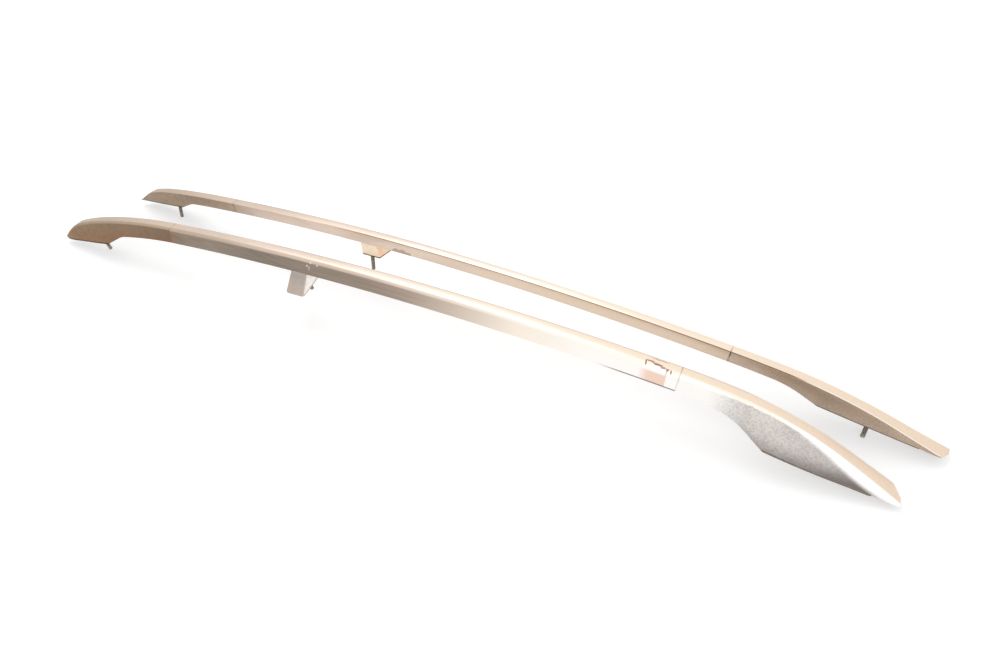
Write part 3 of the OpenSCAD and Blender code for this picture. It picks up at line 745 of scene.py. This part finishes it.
def narrow_nose(point, side):
    """Draws the rear nose in toward its point and its top down to it; the base stays flat."""
    reach = -point.x - REAR_SEAM
    tip = (reach - NOSE_START) / (REAR_REACH - NOSE_START)
    if tip <= 0:
        return point
    tip = min(tip, 1)
    centre = REAR_SWEEP * (reach / REAR_REACH) ** 2 + NOSE_POINT_OUT[side]
    outward = centre + (point.y - centre) * (1 - NOSE_NARROWING * tip ** NOSE_POWER)
    shorter = reach - NOSE_SHORTER[side] * tip ** 2
    drop = min(max(reach - NOSE_DROP_START, 0) / (REAR_REACH - NOSE_DROP_START), 1)
    height = point.z - rear_base(reach, point.y)
    height *= 1 - NOSE_DROP * drop ** NOSE_DROP_POWER
    return Vector((-REAR_SEAM - shorter, outward, rear_base(shorter, outward) + height))


def rear_base(reach, out):
    """Height of the rear pad's underside, in the rail's own frame."""
    fall = (reach - REAR_STUD_REACH) * math.tan(REAR_PITCH)
    return STUD_ROOT - fall + (REAR_STUD_OUT - out) * math.tan(ROOF_SLOPE)


def close_tip(point):
    """Lowers the front foot's metal over the edge of its pad, round the tip."""
    reach = point.x - FRONT_SEAM
    over = front_base_height(point)
    if reach < FRONT_LIP_START or over > PAD_T + FLATNESS:
        return point
    share = min((reach - FRONT_LIP_START) / (FRONT_LIP_FULL - FRONT_LIP_START), 1)
    return Vector((point.x, point.y, point.z - share * (PAD_T - FRONT_LIP_ABOVE_BASE)))


def shorten_pad(point):
    """Draws the front pad's tip in, behind that lip."""
    reach = point.x - FRONT_SEAM
    if reach < FRONT_PAD_END:
        return point
    pulled = FRONT_PAD_END + (reach - FRONT_PAD_END) * FRONT_PAD_SQUEEZE
    back = reach - pulled
    lift = back * math.tan(FRONT_PITCH)
    return Vector((point.x - back, point.y, point.z + lift))


def front_base_height(point):
    """How far a point lies over the front pad's underside."""
    fall = (point.x - FRONT_STUD_ALONG) * math.tan(FRONT_PITCH)
    return point.z - (STUD_ROOT - fall + (FRONT_STUD_OUT - point.y) * math.tan(ROOF_SLOPE))


def lean_out(point):
    """Leans the middle foot's outer face out."""
    arc_drop = ARCH_RADIUS - math.sqrt(ARCH_RADIUS ** 2 - point.x ** 2)
    underside = APEX_HEIGHT - arc_drop - PROFILE_UNDERSIDE - point.y * math.tan(ROOF_SLOPE)
    share = (point.y - MIDDLE_LEAN_FROM) / (MIDDLE_LEAN_FULL - MIDDLE_LEAN_FROM)
    out = max(underside - point.z, 0) * MIDDLE_LEAN_MORE * min(max(share, 0), 1)
    return Vector((point.x, point.y + out, point.z - out * math.tan(ROOF_SLOPE)))


def stud_radius(height, low, high, turn):
    """Radius of a stud at a height, with its chamfers, plain neck and thread; turn counts whole turns."""
    ends = STUD_R - STUD_CHAMFER + min(height - low, high - height)
    if NECK_LOW < height < PAD_T:
        return min(NECK_R, ends)
    flank = abs((height / THREAD_PITCH - turn) % 1.0 * 2 - 1)
    groove = min(max(flank * 1.3 - 0.15, 0), 1)
    return min(STUD_R - THREAD_DEPTH * groove, ends)


def threaded_stud(name, node, mount, side, high, headed=False):
    """A stud with a cut thread below the pad, square to the roof."""
    up = -Vector(mount["axis"]).normalized()
    root = Vector(mount["pos_m"]) + up * STUD_MOUNT_DROP
    ahead = rail_turn(side).to_3x3() @ Vector((1, 0, 0))
    ahead = (ahead - up * ahead.dot(up)).normalized()
    across = up.cross(ahead)
    low = -STUD_OUT
    step = THREAD_PITCH / THREAD_STEPS
    count = round((PAD_T - low) / step)
    heights = [low + k * step for k in range(count)] + [PAD_T, PAD_T + 0.0001, high - STUD_CHAMFER, high]
    points, faces = [], []
    for height in heights:
        for k in range(THREAD_SIDES):
            turn = k / THREAD_SIDES
            angle = 2 * math.pi * turn
            radius = stud_radius(height, low, high, turn) if height < PAD_T else min(
                STUD_R, STUD_R - STUD_CHAMFER + high - height)
            points.append(root + up * height + (ahead * math.cos(angle) + across * math.sin(angle)) * radius)
    for ring in range(len(heights) - 1):
        for k in range(THREAD_SIDES):
            a, b = ring * THREAD_SIDES + k, ring * THREAD_SIDES + (k + 1) % THREAD_SIDES
            faces.append((a, b, b + THREAD_SIDES, a + THREAD_SIDES))
    last = (len(heights) - 1) * THREAD_SIDES
    faces.append(tuple(range(THREAD_SIDES - 1, -1, -1)))
    faces.append(tuple(range(last, last + THREAD_SIDES)))
    if headed:
        first = len(points)
        for height in (BOLT_HEAD_LOW, BOLT_HEAD_HIGH):
            for x, y in ((-1, -1), (1, -1), (1, 1), (-1, 1)):
                points.append(root + up * height + ahead * x * BOLT_HEAD_HALF + across * y * BOLT_HEAD_HALF)
        for k in range(4):
            a, b = first + k, first + (k + 1) % 4
            faces.append((a, b, b + 4, a + 4))
        faces.append((first + 3, first + 2, first + 1, first))
        faces.append((first + 4, first + 5, first + 6, first + 7))
    mesh = bpy.data.meshes.new(name)
    mesh.from_pydata(points, [], faces)
    piece = new_piece(name, mesh, node)
    finish_piece(piece, [STEEL])


MOUNTS = {mount["name"]: mount for mount in frame["record"]["mounts"]}
MIDDLE_BOLT_TOP = BOLT_HEAD_LOW + 0.002

for side in SIDES:
    nodes = frame["nodes"]
    finish_piece(nodes[side + "_profile"], [make_profile_material(side)])
    front_foot = reshaped(side + "_front_foot", side, close_tip)
    finish_piece(front_foot, [make_foot_material(side, "front")])
    finish_piece(reshaped(side + "_front_pad", side, shorten_pad), [DUSTY_RUBBER])
    rear_foot = reshaped(side + "_rear_foot", side, lambda point: narrow_nose(point, side))
    finish_piece(rear_foot, [make_foot_material(side, "rear")])
    rear_pad = reshaped(side + "_rear_pad", side, lambda point: narrow_nose(point, side))
    finish_piece(rear_pad, [RUBBER])
    middle_foot = reshaped(side + "_middle_foot", side, lean_out)
    finish_piece(middle_foot, [make_middle_material(side), MIDDLE_EDGES[side]], 0.0007)
    middle_rubber = PALE_RUBBER if side == "right" else RUBBER
    finish_piece(reshaped(side + "_middle_pad", side, lean_out), [middle_rubber])
    finish_piece(nodes[side + "_middle_nut"], [STEEL])
    finish_piece(nodes[side + "_joint_screws"], [STEEL])
    for which in ("front", "rear"):
        name = "%s_%s_stud" % (side, which)
        threaded_stud(name + "_thread", name, MOUNTS[name], side, STUD_IN)
    threaded_stud(
        side + "_middle_bolt_thread", side + "_middle_bolt", MOUNTS[side + "_middle_stud"], side,
        MIDDLE_BOLT_TOP, headed=True)


# Stage, light and camera.

def make_floor():
    """A pale floor that keeps the soft shadows and runs out to white."""
    mesh = bpy.data.meshes.new("floor")
    reach = 30.0
    mesh.from_pydata(
        [(-reach, -reach, 0), (reach, -reach, 0), (reach, reach, 0), (-reach, reach, 0)], [], [(0, 1, 2, 3)])
    floor = bpy.data.objects.new("floor", mesh)
    bpy.context.scene.collection.objects.link(floor)
    material, tree, shader = new_material("floor_white")
    shader.inputs["Base Color"].default_value = (0.62, 0.62, 0.62, 1)
    shader.inputs["Roughness"].default_value = 0.9
    shader.inputs["Specular IOR Level"].default_value = 0.0
    path = add(tree, "ShaderNodeLightPath")
    seen = maths(tree, "MAXIMUM", path.outputs["Is Camera Ray"], path.outputs["Is Glossy Ray"])
    seen = maths(tree, "MAXIMUM", seen, path.outputs["Is Transmission Ray"])
    tree.links.new(maths(tree, "MULTIPLY", seen, 0.5), shader.inputs["Emission Strength"])
    shader.inputs["Emission Color"].default_value = (1, 1, 1, 1)
    mesh.materials.append(material)


def make_world():
    world = bpy.data.worlds.new("studio")
    bpy.context.scene.world = world
    world.use_nodes = True
    tree = world.node_tree
    backdrop = next(n for n in tree.nodes if n.type == "BACKGROUND")
    backdrop.inputs["Color"].default_value = (1, 1, 1, 1)
    path = add(tree, "ShaderNodeLightPath")
    seen = maths(tree, "MAXIMUM", path.outputs["Is Camera Ray"], path.outputs["Is Glossy Ray"])
    seen = maths(tree, "MAXIMUM", seen, path.outputs["Is Transmission Ray"])
    tree.links.new(fade(tree, seen, 0.0, 1.0, 0.78, 1.0), backdrop.inputs["Strength"])


def make_lamp(name, place, target, size, watts):
    data = bpy.data.lights.new(name, "AREA")
    data.shape = "DISK"
    data.size = size
    data.energy = watts
    lamp = bpy.data.objects.new(name, data)
    lamp.location = place
    lamp.rotation_mode = "QUATERNION"
    lamp.rotation_quaternion = (Vector(target) - Vector(place)).to_track_quat("-Z", "Y")
    bpy.context.scene.collection.objects.link(lamp)


def make_camera():
    azimuth, elevation = math.radians(CAMERA_AZIMUTH), math.radians(CAMERA_ELEVATION)
    roll = math.radians(CAMERA_ROLL)
    ahead = Vector((-math.sin(azimuth) * math.cos(elevation),
                    math.cos(azimuth) * math.cos(elevation), -math.sin(elevation)))
    level = Vector((math.cos(azimuth), math.sin(azimuth), 0))
    up = level.cross(ahead)
    right = level * math.cos(roll) + up * math.sin(roll)
    top = up * math.cos(roll) - level * math.sin(roll)
    data = bpy.data.cameras.new("camera")
    data.sensor_width = 36
    data.lens = CAMERA_LENS
    camera = bpy.data.objects.new("camera", data)
    turn = Matrix((right, top, -ahead)).transposed()
    camera.matrix_world = Matrix.Translation(CAMERA_PLACE) @ turn.to_4x4()
    bpy.context.scene.collection.objects.link(camera)
    bpy.context.scene.camera = camera


make_floor()
make_world()
make_lamp("softbox", place=(-1.2, 1.0, 3.0), target=(0, 0, 0), size=2.4, watts=24)
make_lamp("fill", place=(1.8, -2.2, 2.2), target=(0, 0, 0), size=2.0, watts=12)
make_camera()
bpy.context.scene.view_settings.view_transform = "Standard"
